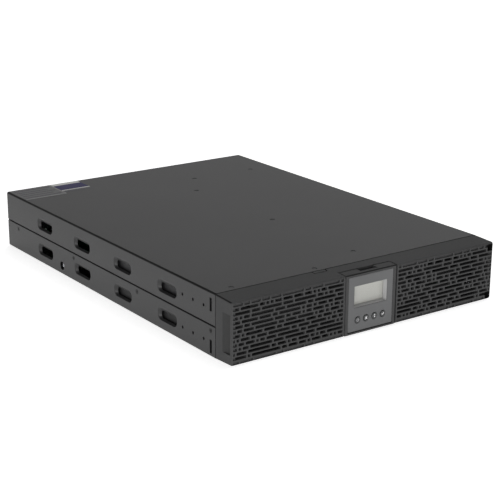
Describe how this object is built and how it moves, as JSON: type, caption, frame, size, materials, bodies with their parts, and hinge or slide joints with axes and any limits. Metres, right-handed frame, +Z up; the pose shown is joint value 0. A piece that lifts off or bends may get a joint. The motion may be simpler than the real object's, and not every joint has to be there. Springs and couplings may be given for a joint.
{
  "type": "uninterruptible power supply",
  "caption": "Low two-unit uninterruptible power supply for rack or tower use: steel case, slotted bezel with pull-out display module, battery pack, fans and rear sockets.",
  "frame": {"origin": "middle of the footprint, on the surface the unit lies on", "axes": "+X to the right seen from the front, +Y from the front bezel to the rear panel, +Z up"},
  "size_m": [0.438, 0.613, 0.0855],
  "materials": {
    "chassis_paint": "satin black textured powder coat",
    "bezel_plastic": "fine-textured black moulding",
    "faceplate_plastic": "satin dark grey moulding",
    "display_glass": "unlit reflective display, grey green",
    "button_plastic": "satin black cap",
    "black_steel": "black oxide screw",
    "zinc_steel": "bright zinc plate",
    "battery_case": "grey-black ABS case",
    "battery_connector_plastic": "red two-pole housing",
    "circuit_board": "green solder mask",
    "heatsink_aluminium": "mill-finish extrusion",
    "copper_winding": "enamelled copper wire",
    "capacitor_sleeve": "dark blue shrink sleeve",
    "transformer_core": "ferrite and taped winding",
    "fan_plastic": "black glass-filled plastic",
    "guard_wire": "bright plated wire",
    "socket_plastic": "black thermoset",
    "breaker_red": "red reset button",
    "terminal_green": "green terminal block"
  },
  "bodies": {
    "chassis": {"base_tray": "chassis_paint", "top_cover": "chassis_paint", "front_frame": "chassis_paint", "battery_door": "chassis_paint", "rear_panel": "chassis_paint", "slot_cover": "chassis_paint", "cover_screw_left_1": "black_steel", "cover_screw_left_2": "black_steel", "cover_screw_left_3": "black_steel", "cover_screw_left_4": "black_steel", "cover_screw_right_1": "black_steel", "cover_screw_right_2": "black_steel", "cover_screw_right_3": "black_steel", "cover_screw_right_4": "black_steel", "battery_tray": "zinc_steel", "service_screw": "zinc_steel", "frame_screw": "zinc_steel", "ground_screw": "zinc_steel", "usb_port": "zinc_steel", "serial_port": "zinc_steel", "battery_1": "battery_case", "battery_2": "battery_case", "battery_3": "battery_case", "battery_4": "battery_case", "battery_5": "battery_case", "battery_6": "battery_case", "battery_connector": "battery_connector_plastic", "main_board": "circuit_board", "charger_board": "circuit_board", "heatsink_1": "heatsink_aluminium", "heatsink_2": "heatsink_aluminium", "inductor_1": "copper_winding", "inductor_2": "copper_winding", "dc_capacitor_1": "capacitor_sleeve", "dc_capacitor_2": "capacitor_sleeve", "transformer": "transformer_core", "fan_frame_1": "fan_plastic", "fan_frame_2": "fan_plastic", "fan_guard_1": "guard_wire", "fan_guard_2": "guard_wire", "outlet_bank_1": "socket_plastic", "outlet_bank_2": "socket_plastic", "outlet_c19": "socket_plastic", "ac_inlet": "socket_plastic", "input_breaker": "socket_plastic", "battery_socket": "socket_plastic", "surge_ports": "socket_plastic", "epo_terminal": "terminal_green"},
    "bezel": {"front_bezel": "bezel_plastic"},
    "lcd_module": {"lcd_housing": "bezel_plastic", "lcd_faceplate": "faceplate_plastic", "lcd_panel": "display_glass", "lcd_board": "circuit_board"},
    "power_button": {"power_button": "button_plastic"},
    "escape_button": {"escape_button": "button_plastic"},
    "scroll_button": {"scroll_button": "button_plastic"},
    "enter_button": {"enter_button": "button_plastic"},
    "fan_rotor_1": {"fan_rotor_1": "fan_plastic"},
    "fan_rotor_2": {"fan_rotor_2": "fan_plastic"},
    "breaker_button": {"input_breaker_button": "breaker_red"}
  },
  "joints": [
    {"name": "bezel_pull", "type": "slide", "parent": "chassis", "child": "bezel", "axis": [0, -1, 0], "range_m": [0, 0.06]},
    {"name": "lcd_pull", "type": "slide", "parent": "bezel", "child": "lcd_module", "axis": [0, -1, 0], "range_m": [0, 0.03]},
    {"name": "power_press", "type": "slide", "parent": "lcd_module", "child": "power_button", "axis": [0, 1, 0], "range_m": [0, 0.0008], "stiffness_N_per_m": 800, "springref_m": -0.0008},
    {"name": "escape_press", "type": "slide", "parent": "lcd_module", "child": "escape_button", "axis": [0, 1, 0], "range_m": [0, 0.0008], "stiffness_N_per_m": 800, "springref_m": -0.0008},
    {"name": "scroll_press", "type": "slide", "parent": "lcd_module", "child": "scroll_button", "axis": [0, 1, 0], "range_m": [0, 0.0008], "stiffness_N_per_m": 800, "springref_m": -0.0008},
    {"name": "enter_press", "type": "slide", "parent": "lcd_module", "child": "enter_button", "axis": [0, 1, 0], "range_m": [0, 0.0008], "stiffness_N_per_m": 800, "springref_m": -0.0008},
    {"name": "fan_spin_1", "type": "hinge", "parent": "chassis", "child": "fan_rotor_1", "pos_m": [0.171, 0.286, 0.0432], "axis": [0, 1, 0], "continuous": true},
    {"name": "fan_spin_2", "type": "hinge", "parent": "chassis", "child": "fan_rotor_2", "pos_m": [0.088, 0.286, 0.0432], "axis": [0, 1, 0], "continuous": true},
    {"name": "breaker_pop", "type": "slide", "parent": "chassis", "child": "breaker_button", "axis": [0, 1, 0], "range_m": [0, 0.004]}
  ]
}
